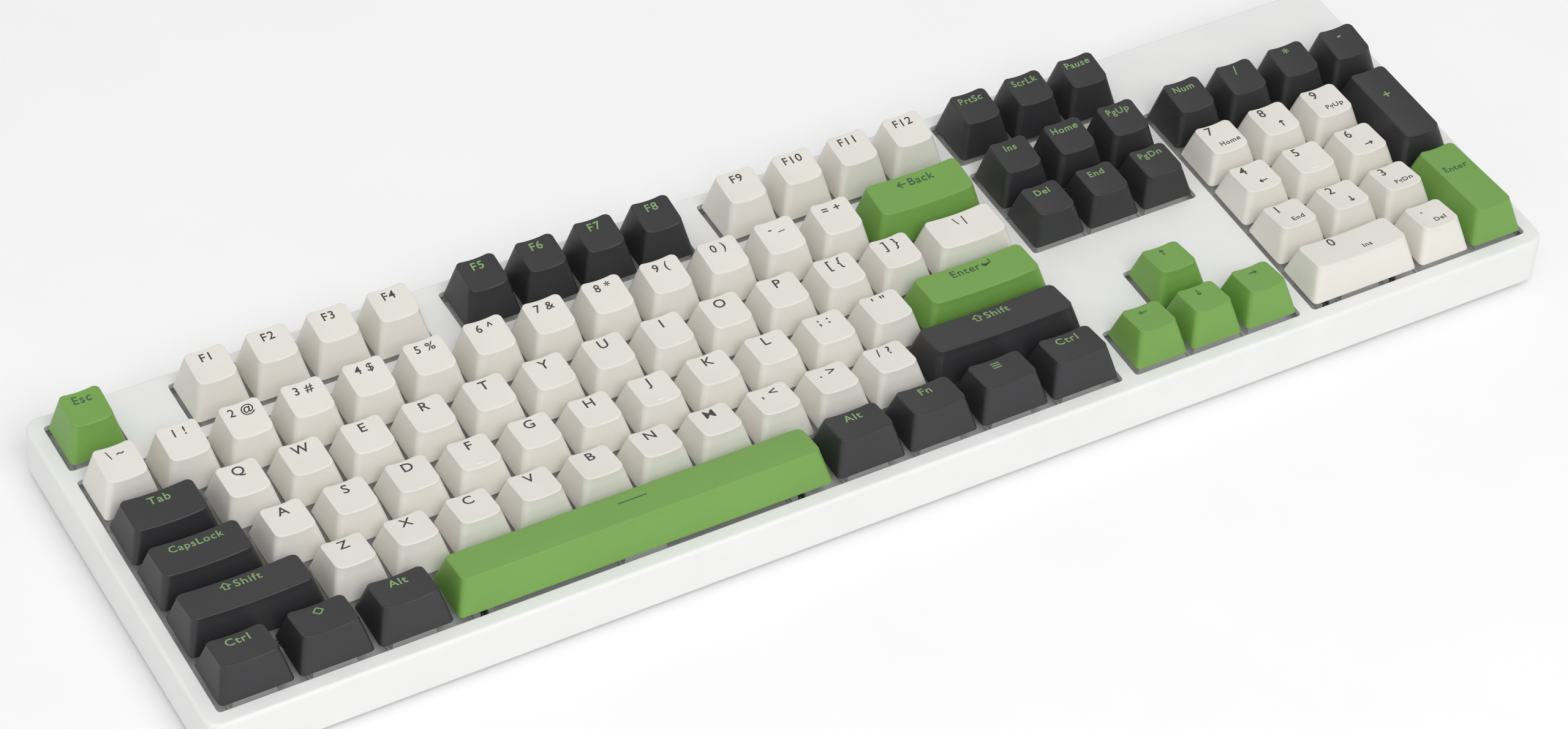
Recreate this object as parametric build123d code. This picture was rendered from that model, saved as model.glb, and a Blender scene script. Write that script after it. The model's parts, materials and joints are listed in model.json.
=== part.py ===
from build123d import *
import os
from math import cos, radians, sin

os.makedirs("parts", exist_ok=True)

# Full-size 104-key mechanical keyboard, in millimetres.
# Origin: centre of the case's outline, on the desk. +X right, +Y to the rear, +Z up.

# Key grid
PITCH = 19.05
FIELD_WIDE = 22.5 * PITCH
FIELD_DEEP = 6.25 * PITCH
ROW_Y = {0: 0.0, 1: 1.0, 2: 2.0, 3: 3.0, 4: 4.0, 5: 5.25}
TRAVEL = 4.0

# Heights above the desk
FOOT_PROUD = 1.5
FLOOR = 2.0
FLOOR_TOP = FOOT_PROUD + FLOOR
PLATE_TOP = FLOOR_TOP + 9.5
PLATE = 1.5
BOARD_TOP = PLATE_TOP - 5.0
BOARD = 1.6
SKIRT = PLATE_TOP + 6.0
BEZEL_TOP = SKIRT - 0.7
BEZEL = 1.8
PARTING = 12.0

# Case
CASE_MARGIN = 5.0
CASE_WALL = 2.2
CASE_WIDE = FIELD_WIDE + 2 * CASE_MARGIN
CASE_DEEP = FIELD_DEEP + 2 * CASE_MARGIN
CASE_CORNER = 5.0
KEY_CLEAR = 0.25
LIP = 0.9

# Keycap: the skirt fills its cell but for SKIRT_GAP on each side
SKIRT_GAP = 0.75
CAP_WALL = 1.3
CAP_ROOF = 1.4
CAP_CORNER = 1.6
SIDE_INSET = 3.35
DISH_DEPTH = 0.9
# row: (back edge y, back edge z, front edge y, front edge z), from the cell's front and the skirt's foot
CAP_PROFILE = {
    0: (16.7, 9.2, 4.3, 11.1),
    1: (17.0, 8.8, 4.4, 10.8),
    2: (16.8, 9.2, 3.9, 10.1),
    3: (16.7, 10.0, 3.7, 10.2),
    4: (16.4, 12.8, 3.7, 11.5),
    5: (16.0, 13.2, 3.9, 11.7),
}

# Switch
CUTOUT = 14.0
HOUSING = 13.9
FLANGE = 15.6
FLANGE_TALL = 1.0
HOUSING_TALL = 6.6
CHAMBER = 9.4
ROOF_HOLE = 7.6
SLIDER = 7.0
SHOULDER = 8.6
CROSS = 4.0
CROSS_ARM = 1.2
CROSS_TALL = 3.6
PEG_R = 1.95
PEG_HOLE_R = 2.05
POLE_R = 1.2
SPRING_R = 2.4
PIN_R = 0.7
PIN_AT = [(-3.81, 2.54), (2.54, 5.08)]

# Stabiliser: a wire bar in front of the stems, with an arm back to each stem
WIRE_R = 0.8
ARM = 9.6
ARM_START = 12.0
ARM_TIP = 0.8
BAR_Z = PLATE_TOP + 1.0
SLOT_Z = BAR_Z + ARM * sin(radians(ARM_START))
BAR_OFF = ARM * cos(radians(ARM_START))
SLOT_TALL = 3.0
STAB_STEM = 4.6
STAB_BORE = 5.4
STAB_WIDE = 6.6
STAB_FRONT = -6.3
STAB_BACK = 5.3
STAB_TALL = 2.2

# Fasteners, feet and socket
POST_R = 2.2
POST_HOLE_R = 2.7
SCREW_R = 1.0
HEAD_R = 1.6
HEAD_TALL = 1.2
CASE_HEAD_R = 2.0
PAD = (46.0, 9.0)
PAD_SUNK = 0.5
PAD_PLACES = [(x, y) for x in (-190.0, 190.0) for y in (-55.0, 41.0)]
FOOT_X = 143.0
FOOT_AXIS_Y = 56.0
FOOT_AXIS_Z = 1.8
FOOT_WIDE = 26.0
FOOT_LONG = 14.0
FOOT_R = 1.2
FOOT_PIN_R = 0.7
FOOT_GAP = 0.3
SOCKET_UNITS = 21.5
SOCKET = (8.94, 3.26, 7.4)

# Places in key units: (x, y)
CASE_POSTS = [
    (15.125, 0.5), (18.375, 0.5), (15.125, 2.5), (18.375, 2.5), (15.125, 4.5),
    (18.375, 4.5), (1.5, 5.75), (6.25, 5.75), (10.75, 5.75), (20.5, 5.75),
]
PLATE_POSTS = [
    (3.0, 1.0), (11.0, 1.0), (20.5, 1.0), (5.0, 2.0), (9.0, 2.0), (3.5, 3.0),
    (7.0, 3.0), (11.0, 3.0), (19.5, 3.0), (4.0, 5.125), (8.5, 5.125), (13.0, 5.125),
    (16.75, 5.125),
]
# Openings in the top shell: (left, front, width, depth) in key units
OPENINGS = [
    (0, 0, 15, 5), (0, 5.25, 1, 1), (2, 5.25, 4, 1), (6.5, 5.25, 4, 1), (11, 5.25, 4, 1),
    (15.25, 5.25, 3, 1), (15.25, 3, 3, 2), (15.25, 0, 3, 1), (16.25, 0, 1, 2), (18.5, 0, 4, 5),
]

# node: [(left edge in units, row, width in units, rows tall), ...]
KEYS = {
    "key_esc": [(0, 5, 1, 1)],
    "keys_f1_f4": [(2 + i, 5, 1, 1) for i in range(4)],
    "keys_f5_f8": [(6.5 + i, 5, 1, 1) for i in range(4)],
    "keys_f9_f12": [(11 + i, 5, 1, 1) for i in range(4)],
    "keys_system": [(15.25 + i, 5, 1, 1) for i in range(3)],
    "keys_number_row": [(i, 4, 1, 1) for i in range(13)],
    "key_backspace": [(13, 4, 2, 1)],
    "keys_navigation_upper": [(15.25 + i, 4, 1, 1) for i in range(3)],
    "keys_numpad_operators": [(18.5 + i, 4, 1, 1) for i in range(4)],
    "key_tab": [(0, 3, 1.5, 1)],
    "keys_upper_letter_row": [(1.5 + i, 3, 1, 1) for i in range(12)] + [(13.5, 3, 1.5, 1)],
    "keys_navigation_lower": [(15.25 + i, 3, 1, 1) for i in range(3)],
    "keys_numpad_7_8_9": [(18.5 + i, 3, 1, 1) for i in range(3)],
    "key_numpad_plus": [(21.5, 2, 1, 2)],
    "key_caps_lock": [(0, 2, 1.75, 1)],
    "keys_home_letter_row": [(1.75 + i, 2, 1, 1) for i in range(11)],
    "key_enter": [(12.75, 2, 2.25, 1)],
    "keys_numpad_4_5_6": [(18.5 + i, 2, 1, 1) for i in range(3)],
    "key_left_shift": [(0, 1, 2.25, 1)],
    "keys_lower_letter_row": [(2.25 + i, 1, 1, 1) for i in range(10)],
    "key_right_shift": [(12.25, 1, 2.75, 1)],
    "key_arrow_up": [(16.25, 1, 1, 1)],
    "keys_numpad_1_2_3_point": [(18.5 + i, 1, 1, 1) for i in range(3)] + [(20.5, 0, 1, 1)],
    "key_numpad_enter": [(21.5, 0, 1, 2)],
    "key_left_ctrl": [(0, 0, 1.25, 1)],
    "key_left_system": [(1.25, 0, 1.25, 1)],
    "key_left_alt": [(2.5, 0, 1.25, 1)],
    "key_space": [(3.75, 0, 6.25, 1)],
    "key_right_alt": [(10, 0, 1.25, 1)],
    "key_fn": [(11.25, 0, 1.25, 1)],
    "key_menu": [(12.5, 0, 1.25, 1)],
    "key_right_ctrl": [(13.75, 0, 1.25, 1)],
    "key_arrow_left": [(15.25, 0, 1, 1)],
    "key_arrow_down": [(16.25, 0, 1, 1)],
    "key_arrow_right": [(17.25, 0, 1, 1)],
    "key_numpad_0": [(18.5, 0, 2, 1)],
}
# key with a stabiliser: half the distance between its two stems
STABILISED = {
    "key_backspace": 11.94,
    "key_enter": 11.94,
    "key_left_shift": 11.94,
    "key_right_shift": 11.94,
    "key_space": 50.0,
    "key_numpad_plus": 11.94,
    "key_numpad_enter": 11.94,
    "key_numpad_0": 11.94,
}


def cell_x(units):
    """X of a column edge given in key units from the field's left."""
    return units * PITCH - FIELD_WIDE / 2


def cell_y(units):
    """Y of a row edge given in key units from the field's front."""
    return units * PITCH - FIELD_DEEP / 2


def key_centre(key):
    """Centre of a key's cell, which is also its switch's axis."""
    left, row, wide, tall = key
    return cell_x(left + wide / 2), cell_y(ROW_Y[row] + tall / 2)


def block(wide, deep, low, high, x=0.0, y=0.0):
    """Upright box centred on (x, y), from z = low to z = high."""
    return Pos(x, y, (low + high) / 2) * Box(wide, deep, high - low)


def rod(radius, low, high, x=0.0, y=0.0):
    """Upright cylinder from z = low to z = high."""
    return Pos(x, y, (low + high) / 2) * Cylinder(radius, high - low)


def rounded(wide, deep, corner, low, high, x=0.0, y=0.0):
    """Upright rounded-rectangle prism from z = low to z = high."""
    outline = Pos(x, y, low) * RectangleRounded(wide, deep, corner)
    return extrude(outline, amount=high - low, dir=(0, 0, 1))


def copies(shape, places):
    """The same solid at each (x, y)."""
    return [Pos(x, y, 0) * shape for x, y in places]


def save(name, solids):
    """Write one node's STEP from its list of separate solids."""
    whole = Compound(children=[s for piece in solids for s in piece.solids()])
    whole.label = name
    export_step(whole, f"parts/{name}.step")
    print(name, len(whole.solids()))


ALL_KEYS = [key for group in KEYS.values() for key in group]
SWITCHES = [key_centre(key) for key in ALL_KEYS]


# ---- keycaps ----


def flank_prism(wide, top_inset, gap, tall):
    """Key-shaped front profile, narrowing from the skirt up, as a prism along Y."""
    slope = (top_inset - SKIRT_GAP) / 10.5
    points = [
        (gap, 0),
        (wide - gap, 0),
        (wide - gap - slope * tall, tall),
        (gap + slope * tall, tall),
    ]
    face = make_face(Polyline(*points, close=True))
    return Pos(0, 60, 0) * extrude(Plane.XZ * face, amount=120, dir=(0, -1, 0))


def side_prism(points):
    """Key-shaped side profile, given as (y, z) points, as a prism along X."""
    face = make_face(Polyline(*points, close=True))
    return Pos(-5, 0, 0) * extrude(Plane.YZ * face, amount=135, dir=(1, 0, 0))


def cap_profile(row, tall):
    """Back and front edge of the top face, for a key that is one or two rows tall."""
    back_y, back_z, front_y, front_z = CAP_PROFILE[row]
    if tall == 2:
        back_y, back_z = CAP_PROFILE[row + 1][:2]
        back_y += PITCH
    return back_y, back_z, front_y, front_z


def keycap(row, units, tall):
    """Hollow keycap with a dished top and its switch socket; cell corner at (0, 0), skirt foot at z = 0."""
    wide = units * PITCH
    deep = tall * PITCH
    back_y, back_z, front_y, front_z = cap_profile(row, tall)
    outer = [(SKIRT_GAP, 0), (deep - SKIRT_GAP, 0), (back_y, back_z), (front_y, front_z)]
    shell = side_prism(outer) & flank_prism(wide, SIDE_INSET, SKIRT_GAP, 20)
    shell = shell.solids()[0]
    uprights = [e for e in shell.edges() if abs(e.tangent_at(0.5).Z) > 0.8]
    shell = fillet(uprights, CAP_CORNER)
    slope = (back_z - front_z) / (back_y - front_y)
    top_middle = Vector(wide / 2, (back_y + front_y) / 2, (back_z + front_z) / 2)
    if units < 6:
        half_top = wide / 2 - SIDE_INSET
        radius = (half_top**2 + DISH_DEPTH**2) / (2 * DISH_DEPTH)
        normal = Vector(0, -slope, 1).normalized()
        centre = top_middle + normal * (radius - DISH_DEPTH)
        dish = Cylinder(radius, 4 * deep)
        tilt = Plane(origin=centre, z_dir=(0, 1, slope))
        shell = shell - tilt * dish
    inner_foot = SKIRT_GAP + CAP_WALL
    drop = DISH_DEPTH + CAP_ROOF
    inner = [
        (inner_foot, -1),
        (deep - inner_foot, -1),
        (back_y - CAP_WALL + 0.2, back_z - drop),
        (front_y + CAP_WALL - 0.2, front_z - drop),
    ]
    hollow = side_prism(inner) & flank_prism(wide, SIDE_INSET, inner_foot, 20)
    foot = block(wide - 2 * inner_foot, deep - 2 * inner_foot, -1, 0.01, wide / 2, deep / 2)
    shell = shell - hollow - foot
    return shell.solids()[0]


def cap_roof_underside(row, tall):
    """Height of the hollow's ceiling over the key's centre, above the skirt's foot."""
    back_y, back_z, front_y, front_z = cap_profile(row, tall)
    share = (tall * PITCH / 2 - front_y) / (back_y - front_y)
    return front_z + share * (back_z - front_z) - DISH_DEPTH - CAP_ROOF


def stem_post(foot, ceiling, fill):
    """Round post under the keycap's roof with a cross-shaped socket, axis at (0, 0)."""
    post = rod(2.8, foot, ceiling)
    arm = CROSS_ARM + 0.04
    arm_long = CROSS + 0.04
    socket = block(arm_long, arm, foot - 1, fill) + block(arm, arm_long, foot - 1, fill)
    return post - socket


def slider():
    """Switch slider: cross, body with shoulders, spring pocket and centre pole."""
    cross_foot = PLATE_TOP + HOUSING_TALL
    cross_top = cross_foot + CROSS_TALL
    low = PLATE_TOP + 0.4
    body = block(SLIDER, 6.6, low, cross_foot)
    body += block(SHOULDER, 6.6, low, PLATE_TOP + HOUSING_TALL - 1.2)
    body += block(CROSS, CROSS_ARM, cross_foot, cross_top)
    body += block(CROSS_ARM, CROSS, cross_foot, cross_top)
    body -= rod(SPRING_R + 0.3, low - 1, PLATE_TOP + 4.0)
    body += rod(POLE_R, PLATE_TOP - 3.4, PLATE_TOP + 4.5)
    return body.solids()[0]


def stab_stem():
    """Stabiliser stem: a block with a slot for the wire's arm, and its cross."""
    low = SLOT_Z - SLOT_TALL / 2 - 0.6
    high = PLATE_TOP + HOUSING_TALL
    body = block(STAB_STEM, STAB_STEM, low, high)
    body += block(CROSS, CROSS_ARM, high, high + CROSS_TALL)
    body += block(CROSS_ARM, CROSS, high, high + CROSS_TALL)
    slot_low = SLOT_Z - SLOT_TALL / 2
    slot = block(2 * WIRE_R + 0.6, STAB_STEM, slot_low, slot_low + SLOT_TALL, 0, -1.0)
    return (body - slot).solids()[0]


SLIDER_SOLID = slider()
STAB_STEM_SOLID = stab_stem()


def fused(cap, posts):
    """Keycap with its posts joined to its roof."""
    for post in posts:
        cap = cap + post
    return cap.solids()[0]


def stem_places(name, key):
    """Offsets of the stabiliser stems from the key's centre, as (x, y)."""
    if name not in STABILISED:
        return []
    half = STABILISED[name]
    if key[3] == 2:
        return [(0, -half), (0, half)]
    return [(-half, 0), (half, 0)]


def one_key(name, key, finished):
    """All solids of one key in place: the cap with its posts, the slider and any stabiliser stems."""
    left, row, units, tall = key
    x, y = key_centre(key)
    shape = (row, units, tall)
    if shape not in finished:
        cap = keycap(row, units, tall)
        foot = PLATE_TOP + HOUSING_TALL + 0.05 - SKIRT
        fill = foot + CROSS_TALL + 0.02
        posts = []
        for dx, dy in [(0, 0)] + stem_places(name, key):
            ceiling = cap_roof_underside(row, tall) + 0.6
            post = stem_post(foot, ceiling, fill)
            posts.append(Pos(units * PITCH / 2 + dx, tall * PITCH / 2 + dy, 0) * post)
        finished[shape] = fused(cap, posts)
    solids = [Pos(cell_x(left), cell_y(ROW_Y[row]), SKIRT) * finished[shape]]
    solids.append(Pos(x, y, 0) * SLIDER_SOLID)
    for dx, dy in stem_places(name, key):
        solids.append(turned(STAB_STEM_SOLID, x + dx, y + dy, tall == 2))
    return solids


def make_keys():
    """One node per key, or per bank of like keys."""
    finished = {}
    for name, group in KEYS.items():
        save(name, [s for key in group for s in one_key(name, key, finished)])


# ---- switches ----


def make_switches():
    """Lower and upper housings, springs and contact pins of all switches."""
    lower = block(HOUSING, HOUSING, BOARD_TOP, PLATE_TOP + 0.001)
    lower += block(FLANGE, FLANGE, PLATE_TOP, PLATE_TOP + FLANGE_TALL)
    lower -= block(11.0, 11.0, BOARD_TOP + 0.8, PLATE_TOP + 2)
    peg_foot = BOARD_TOP - 3.3
    lower += rod(PEG_R, peg_foot, BOARD_TOP + 0.001)
    lower -= rod(POLE_R + 0.25, peg_foot + 0.6, BOARD_TOP + 2)
    save("switch_lower_housings", copies(lower.solids()[0], SWITCHES))

    seat = PLATE_TOP + FLANGE_TALL
    top = PLATE_TOP + HOUSING_TALL
    base = Plane.XY.offset(seat) * Rectangle(14.2, 14.2)
    crown = Plane.XY.offset(top) * Rectangle(10.9, 10.9)
    upper = loft([base, crown], ruled=True)
    upper -= block(CHAMBER, CHAMBER, seat - 1, top - 1.0)
    upper -= block(ROOF_HOLE, ROOF_HOLE - 0.4, seat, top + 1)
    save("switch_upper_housings", copies(upper.solids()[0], SWITCHES))

    spring = rod(SPRING_R, BOARD_TOP + 0.8, PLATE_TOP + 4.0)
    spring -= rod(SPRING_R - 0.5, BOARD_TOP, PLATE_TOP + 5.0)
    save("switch_springs", copies(spring.solids()[0], SWITCHES))

    pins = [(x + dx, y + dy) for x, y in SWITCHES for dx, dy in PIN_AT]
    pin = rod(PIN_R, BOARD_TOP - 3.3, BOARD_TOP)
    save("switch_pins", copies(pin.solids()[0], pins))


# ---- stabilisers ----


def stab_frames():
    """(key name, centre x, centre y, half span, runs along Y) of every stabiliser."""
    found = []
    for name, half in STABILISED.items():
        key = KEYS[name][0]
        x, y = key_centre(key)
        found.append((name, x, y, half, key[3] == 2))
    return found


def turned(shape, x, y, along_y):
    """A stabiliser piece drawn for a wide key, placed on its key."""
    return Pos(x, y, 0) * Rot(0, 0, 90 if along_y else 0) * shape


def stab_housing():
    """Guide for one stem: a box through the plate, a flange on it, and hooks round the wire's bar."""
    low = BOARD_TOP + 0.4
    top = PLATE_TOP + STAB_TALL
    middle = (STAB_FRONT + STAB_BACK) / 2
    deep = STAB_BACK - STAB_FRONT
    body = block(STAB_WIDE, deep, low, top, 0, middle)
    body += block(STAB_WIDE + 1.2, deep + 1.0, PLATE_TOP, PLATE_TOP + 0.8, 0, middle)
    hook_front = -BAR_OFF - WIRE_R - 0.7
    for side in (-1, 1):
        x = side * 2.4
        reach = STAB_FRONT - hook_front
        body += block(1.6, reach + 1, PLATE_TOP, PLATE_TOP + 0.12, x, hook_front + (reach + 1) / 2)
        body += block(1.6, 0.5, PLATE_TOP, PLATE_TOP + 1.7, x, hook_front + 0.25)
    body -= block(STAB_BORE, STAB_BORE, low + 0.8, top + 1)
    body -= block(2 * WIRE_R + 0.8, 12, low + 0.8, top + 1, 0, -5.0)
    return body.solids()[0]


def stab_wire(half):
    """Bent steel wire: a long bar along X and two arms back into the stems' slots."""
    tilt = radians(ARM_START)
    reach = ARM + ARM_TIP
    end_y = -BAR_OFF + reach * cos(tilt)
    end_z = BAR_Z + reach * sin(tilt)
    path = FilletPolyline(
        (-half, end_y, end_z),
        (-half, -BAR_OFF, BAR_Z),
        (half, -BAR_OFF, BAR_Z),
        (half, end_y, end_z),
        radius=2.0,
    )
    start = Plane(origin=path @ 0, z_dir=path % 0)
    return sweep(start * Circle(WIRE_R), path=path).solids()[0]


def make_stabilisers():
    """Guide boxes in one node, and one wire node per stabilised key."""
    housing = stab_housing()
    boxes = []
    for name, x, y, half, along_y in stab_frames():
        for dx in (-half, half):
            boxes.append(turned(Pos(dx, 0, 0) * housing, x, y, along_y))
        wire = turned(stab_wire(half), x, y, along_y)
        save("stabiliser_wire_" + name.replace("key_", ""), [wire])
    save("stabiliser_housings", boxes)


# ---- plate, board and what is on it ----


def in_units(places):
    """Places given in key units, in millimetres."""
    return [(cell_x(x), cell_y(y)) for x, y in places]


def holes(shape, places):
    """Flat copies of a hole's outline."""
    return [Pos(x, y) * shape for x, y in places]


def slab(margin, low, high, cuts):
    """Flat sheet as large as the key field plus a margin, with holes cut through."""
    face = RectangleRounded(FIELD_WIDE + 2 * margin, FIELD_DEEP + 2 * margin, 2.0)
    face = face - cuts
    return extrude(Pos(0, 0, low) * face, amount=high - low, dir=(0, 0, 1))


def stab_cuts():
    """Outlines of the plate's cut-outs for the stabiliser guides and the wires' arms."""
    guide = Rectangle(STAB_WIDE + 0.3, STAB_BACK - STAB_FRONT + 0.3)
    guide = Pos(0, (STAB_FRONT + STAB_BACK) / 2) * guide
    arm = Pos(0, -BAR_OFF / 2) * Rectangle(2 * WIRE_R + 0.8, BAR_OFF)
    both = guide + arm
    found = []
    for _, x, y, half, along_y in stab_frames():
        for dx in (-half, half):
            found.append(turned(Pos(dx, 0, 0) * both, x, y, along_y))
    return found


def make_plate_and_board():
    """Steel switch plate, circuit board, controller chip and the plate's screws."""
    posts = holes(Circle(POST_HOLE_R), in_units(CASE_POSTS))
    cuts = holes(Rectangle(CUTOUT, CUTOUT), SWITCHES)
    cuts += stab_cuts()
    cuts += posts
    cuts += holes(Circle(SCREW_R + 0.1), in_units(PLATE_POSTS))
    save("switch_plate", [slab(1.3, PLATE_TOP - PLATE, PLATE_TOP, cuts)])

    cuts = holes(Circle(PEG_HOLE_R), SWITCHES)
    cuts += holes(Circle(PIN_R + 0.1), [(x + dx, y + dy) for x, y in SWITCHES for dx, dy in PIN_AT])
    cuts += posts
    cuts += holes(Circle(POST_HOLE_R), in_units(PLATE_POSTS))
    save("circuit_board", [slab(1.0, BOARD_TOP - BOARD, BOARD_TOP, cuts)])

    chip_x, chip_y = cell_x(19.5), cell_y(5.75)
    chip = block(9.0, 9.0, BOARD_TOP + 0.1, BOARD_TOP + 1.3, chip_x, chip_y)
    legs = block(11.0, 8.0, BOARD_TOP, BOARD_TOP + 0.3, chip_x, chip_y)
    legs += block(8.0, 11.0, BOARD_TOP, BOARD_TOP + 0.3, chip_x, chip_y)
    save("controller_chip", [(chip + legs).solids()[0]])

    screw = rod(SCREW_R, PLATE_TOP - 6.0, PLATE_TOP + 0.5) + rod(HEAD_R, PLATE_TOP, PLATE_TOP + HEAD_TALL)
    screw -= block(1.6, 0.4, PLATE_TOP + 0.7, PLATE_TOP + 2)
    save("plate_screws", copies(screw.solids()[0], in_units(PLATE_POSTS)))


def make_socket():
    """Rear connector: rounded metal shell with a tongue inside, open to the rear."""
    wide, tall, deep = SOCKET
    back = CASE_DEEP / 2 - 0.4
    middle = BOARD_TOP + tall / 2
    face = Plane(origin=(cell_x(SOCKET_UNITS), back, middle), x_dir=(1, 0, 0), z_dir=(0, -1, 0))
    shell = extrude(face * RectangleRounded(wide, tall, tall / 2 - 0.05), amount=deep)
    bore = extrude(face * RectangleRounded(wide - 0.6, tall - 0.6, tall / 2 - 0.35), amount=deep - 1.0)
    tongue = extrude(face * Rectangle(6.6, 0.7), amount=deep - 0.5)
    tongue -= extrude(face * Rectangle(7.0, 1.0), amount=0.6)
    save("usb_socket", [(shell - bore + tongue).solids()[0]])


# ---- case ----


def make_case_top():
    """Top shell: deck with one opening per key cluster, side walls and screw posts."""
    wall = rounded(CASE_WIDE, CASE_DEEP, CASE_CORNER, PARTING, BEZEL_TOP)
    rim = [e for e in wall.edges() if abs(e.center().Z - BEZEL_TOP) < 0.01]
    wall = fillet(rim, 1.2)
    inside = CASE_CORNER - CASE_WALL
    under = BEZEL_TOP - BEZEL
    hollow = rounded(CASE_WIDE - 2 * CASE_WALL, CASE_DEEP - 2 * CASE_WALL, inside, PARTING - 1, under)
    shell = wall - hollow
    cuts = None
    for left, front, wide, deep in OPENINGS:
        x = cell_x(left + wide / 2)
        y = cell_y(front + deep / 2)
        cut = Pos(x, y) * RectangleRounded(wide * PITCH + 2 * KEY_CLEAR, deep * PITCH + 2 * KEY_CLEAR, 1.2)
        cuts = cut if cuts is None else cuts + cut
    shell -= extrude(Pos(0, 0, PARTING) * cuts, amount=20, dir=(0, 0, 1))
    for x, y in in_units(CASE_POSTS):
        shell += rod(POST_R, FLOOR_TOP, under + 0.5, x, y)
        shell -= rod(SCREW_R, FLOOR_TOP - 1, PLATE_TOP - 1.0, x, y)
    save("case_top", [shell.solids()[0]])


def make_case_bottom():
    """Tray: floor, side walls with a locating lip, plate posts, foot recesses and socket slot."""
    tray = rounded(CASE_WIDE, CASE_DEEP, CASE_CORNER, FOOT_PROUD, PARTING)
    rim = [e for e in tray.edges() if abs(e.center().Z - FOOT_PROUD) < 0.01]
    tray = fillet(rim, 1.5)
    inner_wide = CASE_WIDE - 2 * CASE_WALL
    inner_deep = CASE_DEEP - 2 * CASE_WALL
    inside = CASE_CORNER - CASE_WALL
    tray -= rounded(inner_wide, inner_deep, inside, FLOOR_TOP, PARTING + 1)
    lip = rounded(inner_wide - 0.2, inner_deep - 0.2, inside - 0.1, PARTING - 3, PARTING + 1.5)
    lip -= rounded(inner_wide - 0.2 - 2 * LIP, inner_deep - 0.2 - 2 * LIP, 1.5, PARTING - 4, PARTING + 2)
    root = rounded(inner_wide + 0.5, inner_deep + 0.5, inside, PARTING - 3, PARTING - 0.5)
    root -= rounded(inner_wide - 0.4 - LIP, inner_deep - 0.4 - LIP, 1.5, PARTING - 4, PARTING + 2)
    tray += lip + root
    post_top = PLATE_TOP - PLATE
    for x, y in in_units(PLATE_POSTS):
        tray += rod(POST_R, FLOOR_TOP - 0.5, post_top, x, y)
        tray -= rod(SCREW_R, PLATE_TOP - 6.2, post_top + 1, x, y)
    for x, y in in_units(CASE_POSTS):
        tray -= rod(SCREW_R + 0.15, FOOT_PROUD - 1, FLOOR_TOP + 1, x, y)
        tray -= rod(CASE_HEAD_R + 0.2, FOOT_PROUD - 1, FOOT_PROUD + 1.1, x, y)
    for x, y in PAD_PLACES:
        tray -= block(PAD[0] + 0.2, PAD[1] + 0.2, FOOT_PROUD - 1, FOOT_PROUD + PAD_SUNK, x, y)
    for x in (-FOOT_X, FOOT_X):
        tray = with_foot_recess(tray, x)
    slot_wide = SOCKET[0] + 0.5
    slot_tall = SOCKET[1] + 0.4
    face = Plane(
        origin=(cell_x(SOCKET_UNITS), CASE_DEEP / 2 + 1, BOARD_TOP + SOCKET[1] / 2),
        x_dir=(1, 0, 0),
        z_dir=(0, -1, 0),
    )
    tray -= extrude(face * RectangleRounded(slot_wide, slot_tall, slot_tall / 2 - 0.05), amount=6)
    save("case_bottom", [tray.solids()[0]])


def with_foot_recess(tray, x):
    """Pocket for one folded foot, with hinge cheeks that hold the foot's pins."""
    deep = FOOT_LONG + FOOT_R + 3
    middle = FOOT_AXIS_Y + FOOT_R + 0.6 - deep / 2
    wide = FOOT_WIDE + 2 * FOOT_GAP
    ceiling = FOOT_AXIS_Z + FOOT_R + 0.2
    tray += block(wide + 6, deep + 2, FLOOR_TOP - 0.5, ceiling + 0.9, x, middle)
    for side in (-1, 1):
        cheek_x = x + side * (wide / 2 + 1.5)
        tray += block(3.0, 4.4, FOOT_AXIS_Z - 1.3, FLOOR_TOP, cheek_x, FOOT_AXIS_Y)
    tray -= block(wide, deep, FOOT_PROUD - 2, ceiling, x, middle)
    bore = Cylinder(FOOT_PIN_R + 0.06, wide + 4.2)
    tray -= Pos(x, FOOT_AXIS_Y, FOOT_AXIS_Z) * Rot(0, 90, 0) * bore
    return tray


def tilt_foot(x):
    """Folded flip-out foot with its two hinge pins; it lies forward from the hinge."""
    low = FOOT_AXIS_Z - FOOT_R
    middle = FOOT_AXIS_Y - FOOT_LONG / 2
    foot = block(FOOT_WIDE, FOOT_LONG, low, low + 2 * FOOT_R, x, middle)
    foot += Pos(x, FOOT_AXIS_Y, FOOT_AXIS_Z) * Rot(0, 90, 0) * Cylinder(FOOT_R, FOOT_WIDE)
    foot += Pos(x, FOOT_AXIS_Y, FOOT_AXIS_Z) * Rot(0, 90, 0) * Cylinder(FOOT_PIN_R, FOOT_WIDE + 4.0)
    tip = FOOT_AXIS_Y - FOOT_LONG
    foot -= block(10.0, 2.4, low - 1, low + 1.2, x, tip + 3.0)
    return foot.solids()[0]


def make_feet_and_screws():
    """Rubber pads, flip-out feet and the screws that hold the two shells together."""
    pads = [rounded(PAD[0], PAD[1], 2.0, 0, FOOT_PROUD + PAD_SUNK, x, y) for x, y in PAD_PLACES]
    save("rubber_feet", pads)
    save("tilt_foot_left", [tilt_foot(-FOOT_X)])
    save("tilt_foot_right", [tilt_foot(FOOT_X)])
    head_low = FOOT_PROUD + 0.1
    screw = rod(SCREW_R, head_low + 0.5, PLATE_TOP - 1.5) + rod(CASE_HEAD_R, head_low, head_low + 1.0)
    screw -= block(2.0, 0.5, head_low - 1, head_low + 0.5)
    save("case_screws", copies(screw.solids()[0], in_units(CASE_POSTS)))


if __name__ == "__main__":
    make_keys()
    make_switches()
    make_stabilisers()
    make_plate_and_board()
    make_socket()
    make_case_top()
    make_case_bottom()
    make_feet_and_screws()
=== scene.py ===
import json
from math import cos, pi, radians, sin

import bmesh
import bpy
from mathutils import Matrix, Vector


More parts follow.
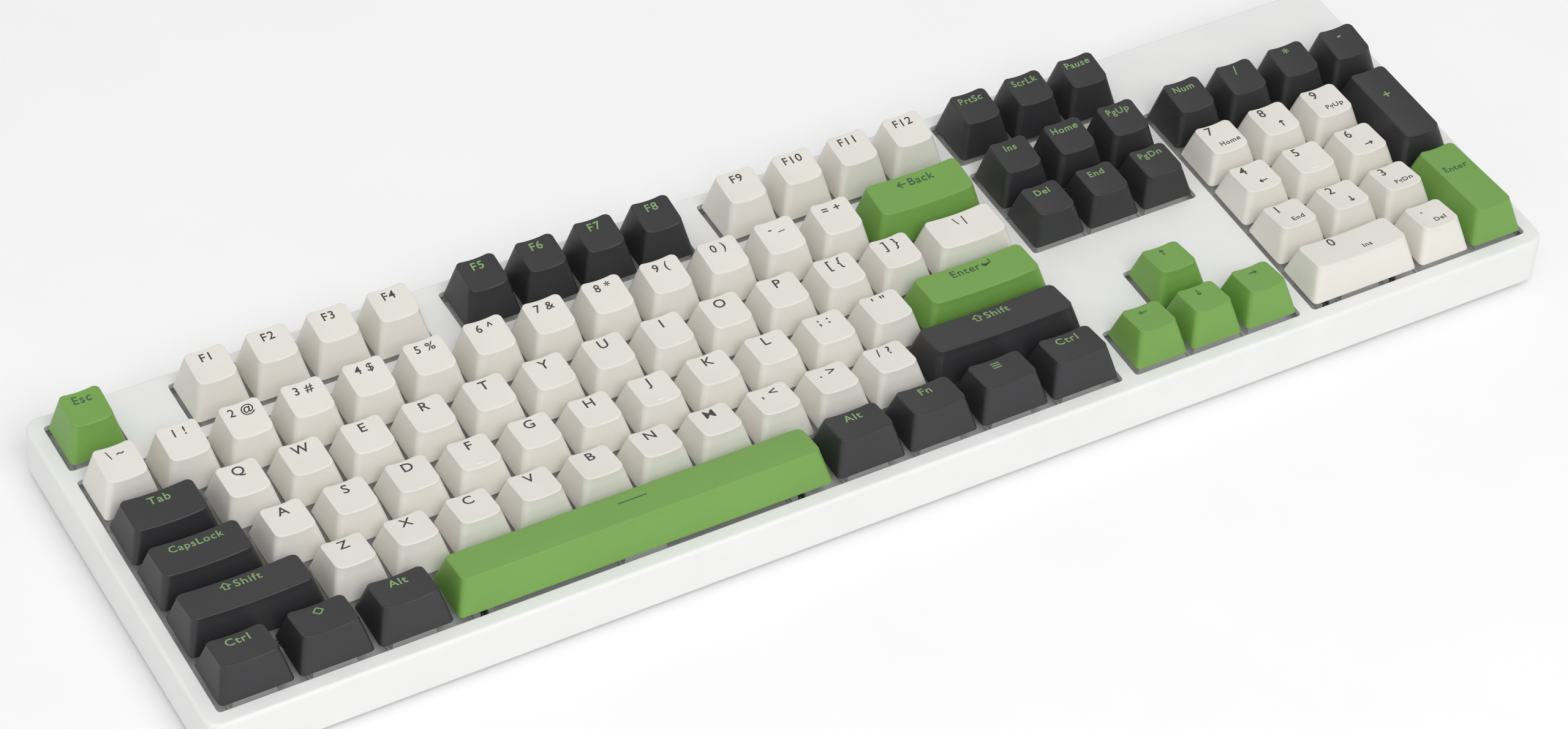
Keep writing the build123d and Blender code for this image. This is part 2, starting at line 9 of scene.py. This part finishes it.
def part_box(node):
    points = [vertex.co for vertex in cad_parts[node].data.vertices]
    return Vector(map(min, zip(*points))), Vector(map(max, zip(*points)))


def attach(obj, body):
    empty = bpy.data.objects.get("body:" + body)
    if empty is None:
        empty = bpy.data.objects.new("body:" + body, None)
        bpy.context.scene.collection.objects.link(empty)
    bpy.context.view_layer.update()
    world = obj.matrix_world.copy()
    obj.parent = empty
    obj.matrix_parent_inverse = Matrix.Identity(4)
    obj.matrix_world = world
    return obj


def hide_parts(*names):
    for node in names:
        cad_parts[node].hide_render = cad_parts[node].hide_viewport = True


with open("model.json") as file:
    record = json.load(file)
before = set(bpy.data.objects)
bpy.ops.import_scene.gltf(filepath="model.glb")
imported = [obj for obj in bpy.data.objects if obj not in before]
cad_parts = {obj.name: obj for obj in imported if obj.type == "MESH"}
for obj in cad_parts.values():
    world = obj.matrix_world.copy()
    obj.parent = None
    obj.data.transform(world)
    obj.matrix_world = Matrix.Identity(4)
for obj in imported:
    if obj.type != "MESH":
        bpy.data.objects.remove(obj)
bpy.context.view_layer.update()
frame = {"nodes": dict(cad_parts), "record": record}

MM = 0.001
PITCH = 19.05

# The key field's left front corner, from the left Ctrl key
FIELD_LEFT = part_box("key_left_ctrl")[0][0] / MM - 0.75
FIELD_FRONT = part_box("key_left_ctrl")[0][1] / MM - 0.75

# Keycap shape, in millimetres, as in the CAD model
SKIRT_GAP = 0.75
SIDE_INSET = 3.35
DISH = 0.9
RIM_R = 0.55
CAP_WALL = 1.3
CORNER_FOOT = 1.5
CORNER_TOP = 2.1
ROW_Y = {0: 0.0, 1: 1.0, 2: 2.0, 3: 3.0, 4: 4.0, 5: 5.25}
# row: (back edge y, back edge z, front edge y, front edge z)
PROFILE = {
    0: (16.7, 9.2, 4.3, 11.1),
    1: (17.0, 8.8, 4.4, 10.8),
    2: (16.8, 9.2, 3.9, 10.1),
    3: (16.7, 10.0, 3.7, 10.2),
    4: (16.4, 12.8, 3.7, 11.5),
    5: (16.0, 13.2, 3.9, 11.7),
}
SKIRT_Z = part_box("case_top")[1][2] / MM + 0.7


# ---- materials ----


def new_material(name):
    """Empty node material with its Principled shader; returns (material, nodes, links, shader)."""
    mat = bpy.data.materials.new(name)
    mat.use_nodes = True
    tree = mat.node_tree
    return mat, tree.nodes, tree.links, tree.nodes["Principled BSDF"]


def grain(nodes, links, scale, detail=3.0):
    """Noise in the object's own coordinates."""
    place = nodes.new("ShaderNodeTexCoord")
    noise = nodes.new("ShaderNodeTexNoise")
    noise.inputs["Scale"].default_value = scale
    noise.inputs["Detail"].default_value = detail
    links.new(place.outputs["Object"], noise.inputs["Vector"])
    return noise.outputs["Fac"]


def ramp(nodes, links, source, low, high, ends=(0.3, 0.7)):
    """Colour that runs from low to high as the source rises."""
    node = nodes.new("ShaderNodeValToRGB")
    node.color_ramp.elements[0].position = ends[0]
    node.color_ramp.elements[1].position = ends[1]
    node.color_ramp.elements[0].color = (*low, 1.0)
    node.color_ramp.elements[1].color = (*high, 1.0)
    links.new(source, node.inputs["Fac"])
    return node.outputs["Color"]


def spread(nodes, links, source, low, high):
    """Number that runs from low to high as the source goes from 0.3 to 0.7."""
    node = nodes.new("ShaderNodeMapRange")
    node.inputs["From Min"].default_value = 0.3
    node.inputs["From Max"].default_value = 0.7
    node.inputs["To Min"].default_value = low
    node.inputs["To Max"].default_value = high
    links.new(source, node.inputs["Value"])
    return node.outputs["Result"]


def bumped(nodes, links, shader, source, depth, strength=1.0):
    """Bump of the given depth in metres."""
    node = nodes.new("ShaderNodeBump")
    node.inputs["Strength"].default_value = strength
    node.inputs["Distance"].default_value = depth
    links.new(source, node.inputs["Height"])
    links.new(node.outputs["Normal"], shader.inputs["Normal"])


def shaded(color, factor):
    """A colour made lighter or darker."""
    return tuple(min(1.0, c * factor) for c in color)


def plastic(name, color, rough=0.45, tone=0.04, grit=9000.0, depth=6e-6, specular=0.5):
    """Moulded plastic: fine spark-eroded grain, slight mottling of colour and gloss."""
    mat, nodes, links, shader = new_material(name)
    cloud = grain(nodes, links, 60.0)
    tint = ramp(nodes, links, cloud, shaded(color, 1 - tone), shaded(color, 1 + tone))
    links.new(tint, shader.inputs["Base Color"])
    fine = grain(nodes, links, grit, 2.0)
    links.new(spread(nodes, links, fine, rough - 0.06, rough + 0.08), shader.inputs["Roughness"])
    shader.inputs["Specular IOR Level"].default_value = specular
    bumped(nodes, links, shader, fine, depth)
    return mat


def metal(name, color, rough=0.3, along=(1.0, 40.0, 40.0)):
    """Drawn or plated metal with fine lines along one direction."""
    mat, nodes, links, shader = new_material(name)
    place = nodes.new("ShaderNodeTexCoord")
    stretch = nodes.new("ShaderNodeMapping")
    stretch.inputs["Scale"].default_value = along
    noise = nodes.new("ShaderNodeTexNoise")
    noise.inputs["Scale"].default_value = 120.0
    links.new(place.outputs["Object"], stretch.inputs["Vector"])
    links.new(stretch.outputs["Vector"], noise.inputs["Vector"])
    lines = noise.outputs["Fac"]
    links.new(ramp(nodes, links, lines, shaded(color, 0.85), color), shader.inputs["Base Color"])
    links.new(spread(nodes, links, lines, rough - 0.08, rough + 0.1), shader.inputs["Roughness"])
    shader.inputs["Metallic"].default_value = 1.0
    bumped(nodes, links, shader, lines, 5e-6)
    return mat


def board(name):
    """Circuit board: green solder mask with faint copper tracks under it."""
    mat, nodes, links, shader = new_material(name)
    place = nodes.new("ShaderNodeTexCoord")
    bricks = nodes.new("ShaderNodeTexBrick")
    bricks.inputs["Scale"].default_value = 110.0
    bricks.inputs["Mortar Size"].default_value = 0.03
    bricks.inputs["Color1"].default_value = (0.012, 0.11, 0.045, 1)
    bricks.inputs["Color2"].default_value = (0.014, 0.13, 0.05, 1)
    bricks.inputs["Mortar"].default_value = (0.03, 0.22, 0.09, 1)
    links.new(place.outputs["Object"], bricks.inputs["Vector"])
    links.new(bricks.outputs["Color"], shader.inputs["Base Color"])
    fine = grain(nodes, links, 2500.0)
    links.new(spread(nodes, links, fine, 0.22, 0.34), shader.inputs["Roughness"])
    bumped(nodes, links, shader, bricks.outputs["Fac"], 1e-5)
    return mat


WHITE = (0.76, 0.735, 0.68)
CHARCOAL = (0.028, 0.0275, 0.030)
GREEN = (0.165, 0.345, 0.066)
INK = (0.045, 0.045, 0.05)
MUTED_GREEN = (0.215, 0.36, 0.135)
SLATE_GREEN = (0.035, 0.10, 0.04)

CAP_MATERIALS = {
    "keycap_white": plastic("cap_white", WHITE, rough=0.42, tone=0.02),
    "keycap_charcoal": plastic("cap_charcoal", CHARCOAL, rough=0.44, tone=0.06),
    "keycap_green": plastic("cap_green", GREEN, rough=0.42, tone=0.03),
}
LEGEND_MATERIALS = {
    "keycap_white": plastic("legend_ink", INK, rough=0.5, tone=0.1, grit=4000.0),
    "keycap_charcoal": plastic("legend_green", MUTED_GREEN, rough=0.5, tone=0.1, grit=4000.0),
    "keycap_green": plastic("legend_slate", SLATE_GREEN, rough=0.5, tone=0.1, grit=4000.0),
}
CASE = plastic("case_plastic", (0.82, 0.82, 0.815), rough=0.48, tone=0.015, grit=5000.0)
NODE_MATERIALS = {
    "case_top": CASE,
    "case_bottom": CASE,
    "tilt_foot_left": CASE,
    "tilt_foot_right": CASE,
    "rubber_feet": plastic("rubber", (0.05, 0.05, 0.05), rough=0.8, tone=0.15, grit=2500.0, depth=2e-5),
    "switch_plate": plastic("powder_coat", (0.8, 0.8, 0.8), rough=0.5, tone=0.03, grit=3000.0, depth=1.5e-5),
    "circuit_board": board("solder_mask"),
    "controller_chip": plastic("chip_resin", (0.02, 0.02, 0.02), rough=0.6, tone=0.1),
    "usb_socket": metal("socket_steel", (0.62, 0.62, 0.63), 0.28, (40.0, 1.0, 40.0)),
    "plate_screws": metal("screw_zinc", (0.55, 0.55, 0.56), 0.32),
    "case_screws": metal("case_screw_zinc", (0.55, 0.55, 0.56), 0.32),
    "switch_springs": metal("spring_wire", (0.6, 0.6, 0.6), 0.25),
    "switch_pins": metal("pin_metal", (0.78, 0.58, 0.3), 0.3),
}
HOUSING = plastic("housing_nylon", (0.72, 0.72, 0.71), rough=0.4, tone=0.03)
WIRE = metal("wire_steel", (0.6, 0.6, 0.6), 0.22)
for node in ("switch_lower_housings", "switch_upper_housings", "stabiliser_housings"):
    NODE_MATERIALS[node] = HOUSING
for node in frame["nodes"]:
    if node.startswith("stabiliser_wire"):
        NODE_MATERIALS[node] = WIRE

SLOTS = {row["node"]: row["material_slot"] for row in frame["record"]["subparts"]}


def dress(node, material):
    """Give a carried-over CAD node its material."""
    mesh = frame["nodes"][node].data
    mesh.materials.clear()
    mesh.materials.append(material)


for node, material in NODE_MATERIALS.items():
    dress(node, material)


# ---- keycap shape ----


class Cap:
    """One keycap's outline and top surface; local origin at its cell's left front corner, skirt foot at z = 0."""

    def __init__(self, left, row, units, tall=1, barred=False):
        self.wide = units * PITCH
        self.deep = tall * PITCH
        self.x = FIELD_LEFT + left * PITCH
        self.y = FIELD_FRONT + ROW_Y[row] * PITCH
        self.space = units > 6
        self.barred = barred
        back_y, back_z, front_y, front_z = PROFILE[row]
        if tall == 2:
            back_y, back_z = PROFILE[row + 1][:2]
            back_y += PITCH
        self.front_y, self.front_z = front_y, front_z
        self.back_y, self.back_z = back_y, back_z
        self.half_top = self.wide / 2 - SIDE_INSET
        self.slope = (back_z - front_z) / (back_y - front_y)

    def height(self, x, y):
        """Top surface above the skirt's foot."""
        across = max(-1.0, min(1.0, (x - self.wide / 2) / self.half_top))
        plane = self.front_z + self.slope * (y - self.front_y)
        if self.space:
            middle = (self.front_y + self.back_y) / 2
            half = (self.back_y - self.front_y) / 2
            along = (y - middle) / half
            return plane - 0.35 * along**2
        return plane - DISH * (1 - across**2)

    def outline(self, share):
        """(x low, x high, y low, y high, corner) of the outer wall, share of the way up."""
        inset = SKIRT_GAP + (SIDE_INSET - SKIRT_GAP) * share
        y_low = SKIRT_GAP + (self.front_y - SKIRT_GAP) * share
        y_high = self.deep - SKIRT_GAP + (self.back_y - self.deep + SKIRT_GAP) * share
        corner = CORNER_FOOT + (CORNER_TOP - CORNER_FOOT) * share
        return inset, self.wide - inset, y_low, y_high, corner


def loop_points(bounds, shrink, counts):
    """Points round a rounded rectangle that is shrunk inwards, always as many."""
    x0, x1, y0, y1, corner = bounds
    x0, x1, y0, y1 = x0 + shrink, x1 - shrink, y0 + shrink, y1 - shrink
    corner = max(0.25, corner - shrink)
    across, along, turn = counts
    centres = [
        (x1 - corner, y0 + corner, -pi / 2),
        (x1 - corner, y1 - corner, 0.0),
        (x0 + corner, y1 - corner, pi / 2),
        (x0 + corner, y0 + corner, pi),
    ]
    points = []
    for index, (cx, cy, start) in enumerate(centres):
        for step in range(turn + 1):
            angle = start + pi / 2 * step / turn
            points.append((cx + corner * cos(angle), cy + corner * sin(angle)))
        nx, ny, start_next = centres[(index + 1) % 4]
        first = points[-1]
        last = (nx + corner * cos(start_next), ny + corner * sin(start_next))
        steps = along if index % 2 == 0 else across
        for step in range(1, steps):
            share = step / steps
            points.append((first[0] + (last[0] - first[0]) * share, first[1] + (last[1] - first[1]) * share))
    return points


def bridge(bm, lower, upper):
    """Quads between two loops of as many vertices."""
    count = len(lower)
    for i in range(count):
        j = (i + 1) % count
        bm.faces.new((lower[i], lower[j], upper[j], upper[i]))


def add_cap(bm, cap):
    """Closed keycap: outer wall, rounded rim, dished top, and the hollow underneath."""
    counts = (max(10, int(cap.wide / 2.0)), max(8, int(cap.deep / 2.5)), 7)
    top = cap.outline(1.0)
    middle = ((top[0] + top[1]) / 2, (top[2] + top[3]) / 2)

    def ring(bounds, shrink, z_of):
        verts = []
        for x, y in loop_points(bounds, shrink, counts):
            place = Vector((cap.x + x, cap.y + y, SKIRT_Z + z_of(x, y)))
            verts.append(bm.verts.new(place * MM))
        return verts

    rings = [ring(cap.outline(0.0), CAP_WALL, lambda x, y: 0.0)]
    rings.append(ring(cap.outline(0.0), 0.12, lambda x, y: 0.0))
    rings.append(ring(cap.outline(0.0), 0.0, lambda x, y: 0.15))
    for share in (0.2, 0.4, 0.6, 0.8, 1.0):
        rings.append(ring(cap.outline(share), 0.0, lambda x, y, s=share: s * (cap.height(x, y) - RIM_R)))
    for step in range(1, 7):
        angle = pi / 2 * step / 6
        shrink = RIM_R * (1 - cos(angle))
        rise = RIM_R * (1 - sin(angle))
        rings.append(ring(top, shrink, lambda x, y, r=rise: cap.height(x, y) - r))
    inner = loop_points(top, RIM_R, counts)
    for share in (0.93, 0.82, 0.68, 0.52, 0.36, 0.18):
        verts = []
        for x, y in inner:
            px = middle[0] + (x - middle[0]) * share
            py = middle[1] + (y - middle[1]) * share
            place = Vector((cap.x + px, cap.y + py, SKIRT_Z + cap.height(px, py)))
            verts.append(bm.verts.new(place * MM))
        rings.append(verts)
    for lower, upper in zip(rings, rings[1:]):
        bridge(bm, lower, upper)
    crown = Vector((cap.x + middle[0], cap.y + middle[1], SKIRT_Z + cap.height(*middle))) * MM
    close_fan(bm, rings[-1], crown, False)
    roof = ring(cap.outline(0.75), CAP_WALL, lambda x, y: 0.75 * cap.height(x, y) - 1.0)
    bridge(bm, roof, rings[0])
    centre = sum((v.co for v in roof), Vector()) / len(roof)
    close_fan(bm, roof, centre, True)


def close_fan(bm, loop, centre, inward):
    """Close a loop with triangles to one point."""
    point = bm.verts.new(centre)
    for i in range(len(loop)):
        j = (i + 1) % len(loop)
        bm.faces.new((loop[j], loop[i], point) if inward else (loop[i], loop[j], point))


def finish_mesh(bm, name, material, smooth_angle=40.0):
    """Turn a bmesh into a smooth-shaded object with one material."""
    bmesh.ops.recalc_face_normals(bm, faces=bm.faces)
    mesh = bpy.data.meshes.new(name)
    bm.to_mesh(mesh)
    bm.free()
    mesh.shade_smooth()
    mesh.set_sharp_from_angle(angle=radians(smooth_angle))
    mesh.materials.append(material)
    piece = bpy.data.objects.new(name, mesh)
    bpy.context.collection.objects.link(piece)
    return piece


# ---- legends ----
# Each legend is (text, size, x, y): its middle, as a share of the top face from its left front corner

BIG = 3.6
MEDIUM = 3.0
SMALL = 2.5
TINY = 1.9


def one(text, size=BIG):
    """A single legend in the upper part of the top face."""
    return [(text, size, 0.5, 0.74)]


def numpad(text, second):
    """A digit top left with a smaller word or arrow lower right."""
    legends = [(text, BIG, 0.34, 0.78)]
    if second:
        legends.append((second, TINY, 0.62, 0.30))
    return legends


def row_of(left, row, texts, size=BIG):
    """1u keys side by side, from a list of legends."""
    return [(left + i, row, 1, 1, one(text, size)) for i, text in enumerate(texts)]


# node: [(left, row, width, rows tall, legends), ...]
KEYS = {
    "key_esc": [(0, 5, 1, 1, one("Esc", MEDIUM))],
    "keys_f1_f4": row_of(2, 5, ["F1", "F2", "F3", "F4"], MEDIUM),
    "keys_f5_f8": row_of(6.5, 5, ["F5", "F6", "F7", "F8"], MEDIUM),
    "keys_f9_f12": row_of(11, 5, ["F9", "F10", "F11", "F12"], MEDIUM),
    "keys_system": row_of(15.25, 5, ["PrtSc", "ScrLk", "Pause"], SMALL),
    "keys_number_row": row_of(0, 4, [
        "\\ ~", "1 !", "2 @", "3 #", "4 $", "5 %", "6 ^", "7 &", "8 *", "9 (", "0 )", "- _", "= +",
    ], MEDIUM),
    "key_backspace": [(13, 4, 2, 1, one("\u2190Back", MEDIUM))],
    "keys_navigation_upper": row_of(15.25, 4, ["Ins", "Home", "PgUp"], SMALL),
    "keys_numpad_operators": row_of(18.5, 4, ["Num"], SMALL) + row_of(19.5, 4, ["/", "*", "-"], BIG),
    "key_tab": [(0, 3, 1.5, 1, one("Tab", MEDIUM))],
    "keys_upper_letter_row": row_of(1.5, 3, list("QWERTYUIOP") + ["[ {", "] }"], BIG)
    + [(13.5, 3, 1.5, 1, one("\\ |", MEDIUM))],
    "keys_navigation_lower": row_of(15.25, 3, ["Del", "End", "PgDn"], SMALL),
    "keys_numpad_7_8_9": [
        (18.5, 3, 1, 1, numpad("7", "Home")),
        (19.5, 3, 1, 1, numpad("8", "^up")),
        (20.5, 3, 1, 1, numpad("9", "PgUp")),
    ],
    "key_numpad_plus": [(21.5, 2, 1, 2, [("+", BIG, 0.5, 0.62)])],
    "key_caps_lock": [(0, 2, 1.75, 1, one("CapsLock", SMALL + 0.2))],
    "keys_home_letter_row": row_of(1.75, 2, list("ASDFGHJKL") + ["; :", "' \""], BIG),
    "key_enter": [(12.75, 2, 2.25, 1, one("Enter\u21b5", MEDIUM))],
    "keys_numpad_4_5_6": [
        (18.5, 2, 1, 1, numpad("4", "^left")),
        (19.5, 2, 1, 1, numpad("5", None)),
        (20.5, 2, 1, 1, numpad("6", "^right")),
    ],
    "key_left_shift": [(0, 1, 2.25, 1, one("\u21e7Shift", MEDIUM))],
    "keys_lower_letter_row": row_of(2.25, 1, list("ZXCVBNM") + [", <", ". >", "/ ?"], BIG),
    "key_right_shift": [(12.25, 1, 2.75, 1, one("\u21e7Shift", MEDIUM))],
    "key_arrow_up": [(16.25, 1, 1, 1, one("^up", MEDIUM))],
    "keys_numpad_1_2_3_point": [
        (18.5, 1, 1, 1, numpad("1", "End")),
        (19.5, 1, 1, 1, numpad("2", "^down")),
        (20.5, 1, 1, 1, numpad("3", "PgDn")),
        (20.5, 0, 1, 1, numpad(".", "Del")),
    ],
    "key_numpad_enter": [(21.5, 0, 1, 2, [("Enter", SMALL, 0.5, 0.66)])],
    "key_left_ctrl": [(0, 0, 1.25, 1, one("Ctrl", MEDIUM))],
    "key_left_system": [(1.25, 0, 1.25, 1, one("^diamond", MEDIUM))],
    "key_left_alt": [(2.5, 0, 1.25, 1, one("Alt", MEDIUM))],
    "key_space": [(3.75, 0, 6.25, 1, [("^dash", MEDIUM, 0.5, 0.62)])],
    "key_right_alt": [(10, 0, 1.25, 1, one("Alt", MEDIUM))],
    "key_fn": [(11.25, 0, 1.25, 1, one("Fn", MEDIUM))],
    "key_menu": [(12.5, 0, 1.25, 1, one("^menu", MEDIUM))],
    "key_right_ctrl": [(13.75, 0, 1.25, 1, one("Ctrl", MEDIUM))],
    "key_arrow_left": [(15.25, 0, 1, 1, one("^left", MEDIUM))],
    "key_arrow_down": [(16.25, 0, 1, 1, one("^down", MEDIUM))],
    "key_arrow_right": [(17.25, 0, 1, 1, one("^right", MEDIUM))],
    "key_numpad_0": [(18.5, 0, 2, 1, numpad("0", "Ins"))],
}
HOMING = {"F", "J", "5"}


def make_keys():
    """Keycap pieces, one per node, each in place of its CAD node."""
    caps = {}
    for node, group in KEYS.items():
        bm = bmesh.new()
        caps[node] = []
        for left, row, units, tall, legends in group:
            cap = Cap(left, row, units, tall, legends[0][0] in HOMING)
            add_cap(bm, cap)
            caps[node].append((cap, legends))
        piece = finish_mesh(bm, "caps_" + node, CAP_MATERIALS[SLOTS[node]])
        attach(piece, node)
        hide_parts(node)
    return caps


CAPS = make_keys()


PROUD = 0.03
SUNK = 0.06
LINE = 0.42


def stroke_parts(symbol):
    """Centre-line segments of a drawn symbol, in millimetres about its middle."""
    arrow = [((-1.3, 0), (1.3, 0)), ((1.3, 0), (0.5, 0.7)), ((1.3, 0), (0.5, -0.7))]
    turns = {"^right": 0, "^up": 90, "^left": 180, "^down": 270}
    if symbol in turns:
        angle = radians(turns[symbol])
        return [[(x * cos(angle) - y * sin(angle), x * sin(angle) + y * cos(angle)) for x, y in s] for s in arrow]
    if symbol == "^dash":
        return [((-4.5, 0), (4.5, 0))]
    if symbol == "^menu":
        return [((-1.4, y), (1.4, y)) for y in (-1.0, 0.0, 1.0)]
    corners = [(0, 1.5), (1.5, 0), (0, -1.5), (-1.5, 0)]
    return list(zip(corners, corners[1:] + corners[:1]))


def flat_strokes(symbol):
    """Closed bars along a symbol's segments, as a mesh between SUNK below and PROUD above the face."""
    bm = bmesh.new()
    for index, (a, b) in enumerate(stroke_parts(symbol)):
        a, b = Vector((*a, 0)), Vector((*b, 0))
        run = b - a
        side = Vector((-run.y, run.x, 0)).normalized() * (LINE / 2)
        lift = index * 0.002
        lower = [bm.verts.new(v + Vector((0, 0, -SUNK))) for v in (a - side, b - side, b + side, a + side)]
        upper = [bm.verts.new(v.co + Vector((0, 0, SUNK + PROUD + lift))) for v in lower]
        bm.faces.new(lower[::-1])
        bm.faces.new(upper)
        bridge(bm, lower, upper)
    return bm


def flat_text(text, size):
    """Closed, extruded lettering about its middle, in millimetres."""
    curve = bpy.data.curves.new("lettering", "FONT")
    curve.body = text
    curve.size = size * 1.35
    curve.space_character = 1.12
    curve.align_x = "CENTER"
    curve.align_y = "CENTER"
    curve.resolution_u = 3
    curve.extrude = (SUNK + PROUD) / 2
    curve.offset = 0.045
    holder = bpy.data.objects.new("lettering", curve)
    bpy.context.collection.objects.link(holder)
    bpy.context.view_layer.update()
    mesh = bpy.data.meshes.new_from_object(holder.evaluated_get(bpy.context.evaluated_depsgraph_get()))
    bm = bmesh.new()
    bm.from_mesh(mesh)
    bmesh.ops.translate(bm, verts=bm.verts, vec=(0, 0, (PROUD - SUNK) / 2))
    bmesh.ops.remove_doubles(bm, verts=bm.verts, dist=1e-4)
    bpy.data.objects.remove(holder)
    bpy.data.curves.remove(curve)
    bpy.data.meshes.remove(mesh)
    return bm


def laid_on(cap, legend):
    """One legend, cut fine enough to follow the dished top, in place."""
    text, size, share_x, share_y = legend
    bm = flat_strokes(text) if text.startswith("^") else flat_text(text, size)
    x = SIDE_INSET + share_x * (cap.wide - 2 * SIDE_INSET)
    y = cap.front_y + share_y * (cap.back_y - cap.front_y)
    bmesh.ops.translate(bm, verts=bm.verts, vec=(x, y, 0))
    low = min(v.co.x for v in bm.verts)
    high = max(v.co.x for v in bm.verts)
    for step in range(1, int((high - low) / 0.8) + 1):
        everything = bm.verts[:] + bm.edges[:] + bm.faces[:]
        cut = (low + step * 0.8, 0, 0)
        bmesh.ops.bisect_plane(bm, geom=everything, plane_co=cut, plane_no=(1, 0, 0))
    for v in bm.verts:
        rise = SKIRT_Z + cap.height(v.co.x, v.co.y)
        v.co = Vector((cap.x + v.co.x, cap.y + v.co.y, rise + v.co.z)) * MM
    return bm


def make_legends():
    """One lettering piece per node, riding with its keys."""
    for node, caps in CAPS.items():
        whole = bpy.data.meshes.new("legends")
        joined = bmesh.new()
        for cap, legends in caps:
            for legend in legends:
                bm = laid_on(cap, legend)
                bm.to_mesh(whole)
                bm.free()
                joined.from_mesh(whole)
        bpy.data.meshes.remove(whole)
        piece = finish_mesh(joined, "legends_" + node, LEGEND_MATERIALS[SLOTS[node]], 30.0)
        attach(piece, node)


def make_homing_bars():
    """Small rounded bars near the front of the three homing keys."""
    for node, caps in CAPS.items():
        for cap, _ in caps:
            if not cap.barred:
                continue
            bm = bmesh.new()
            bmesh.ops.create_uvsphere(bm, u_segments=16, v_segments=8, radius=0.35 * MM)
            x, y = cap.wide / 2, cap.front_y + 1.9
            for v in bm.verts:
                v.co.x *= 5.0
            bmesh.ops.translate(bm, verts=bm.verts, vec=Vector((cap.x + x, cap.y + y, SKIRT_Z + cap.height(x, y))) * MM)
            bar = finish_mesh(bm, "homing_bar_" + node, CAP_MATERIALS[SLOTS[node]])
            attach(bar, node)


make_legends()
make_homing_bars()


# ---- floor, light and camera ----


def make_stage():
    """White floor that keeps the shadow, even soft light."""
    size = 4.0
    bm = bmesh.new()
    bmesh.ops.create_grid(bm, x_segments=1, y_segments=1, size=size)
    floor_mat, nodes, links, shader = new_material("floor_paper")
    shade = grain(nodes, links, 20.0)
    links.new(ramp(nodes, links, shade, (0.93, 0.93, 0.93), (0.95, 0.95, 0.95)), shader.inputs["Base Color"])
    shader.inputs["Roughness"].default_value = 0.9
    floor = finish_mesh(bm, "floor", floor_mat)
    floor.location.z = -0.0002

    world = bpy.data.worlds.new("studio")
    bpy.context.scene.world = world
    world.use_nodes = True
    tree = world.node_tree
    plain = tree.nodes["Background"]
    plain.inputs["Color"].default_value = (1.0, 1.0, 1.0, 1.0)
    plain.inputs["Strength"].default_value = 0.7


def area_light(name, place, aim, size, power):
    """Large soft lamp that points at a place."""
    data = bpy.data.lights.new(name, "AREA")
    data.shape = "RECTANGLE"
    data.size, data.size_y = size
    data.energy = power
    lamp = bpy.data.objects.new(name, data)
    lamp.location = place
    lamp.rotation_euler = (Vector(aim) - Vector(place)).to_track_quat("-Z", "Y").to_euler()
    bpy.context.collection.objects.link(lamp)


AZIMUTH = -32.06
ELEVATION = 44.51
ROLL = 4.16
LENS = 116.9
DISTANCE = 1.382
WIDER = 1.065
AIM = Vector((200.08 - 214.3125, 48.32 - 59.53, 19.0)) * MM


def make_camera():
    """Camera at the object's own viewing angle, a little further back than the key field needs."""
    a, e, r = radians(AZIMUTH), radians(ELEVATION), radians(ROLL)
    back = Vector((sin(a) * cos(e), -cos(a) * cos(e), sin(e)))
    right = Vector((0, 0, 1)).cross(back).normalized()
    up = back.cross(right)
    turned_right = right * cos(r) + up * sin(r)
    turned_up = up * cos(r) - right * sin(r)
    data = bpy.data.cameras.new("camera")
    data.lens = LENS / WIDER
    data.sensor_width = 36.0
    data.clip_start = 0.05
    camera = bpy.data.objects.new("camera", data)
    axes = Matrix((turned_right, turned_up, back)).transposed().to_4x4()
    camera.matrix_world = Matrix.Translation(AIM + back * DISTANCE) @ axes
    bpy.context.collection.objects.link(camera)
    bpy.context.scene.camera = camera


make_stage()
area_light("key_lamp", (-0.2, -1.0, 1.3), (0, 0, 0), (1.2, 0.9), 12.0)
make_camera()
bpy.context.scene.view_settings.view_transform = "Standard"
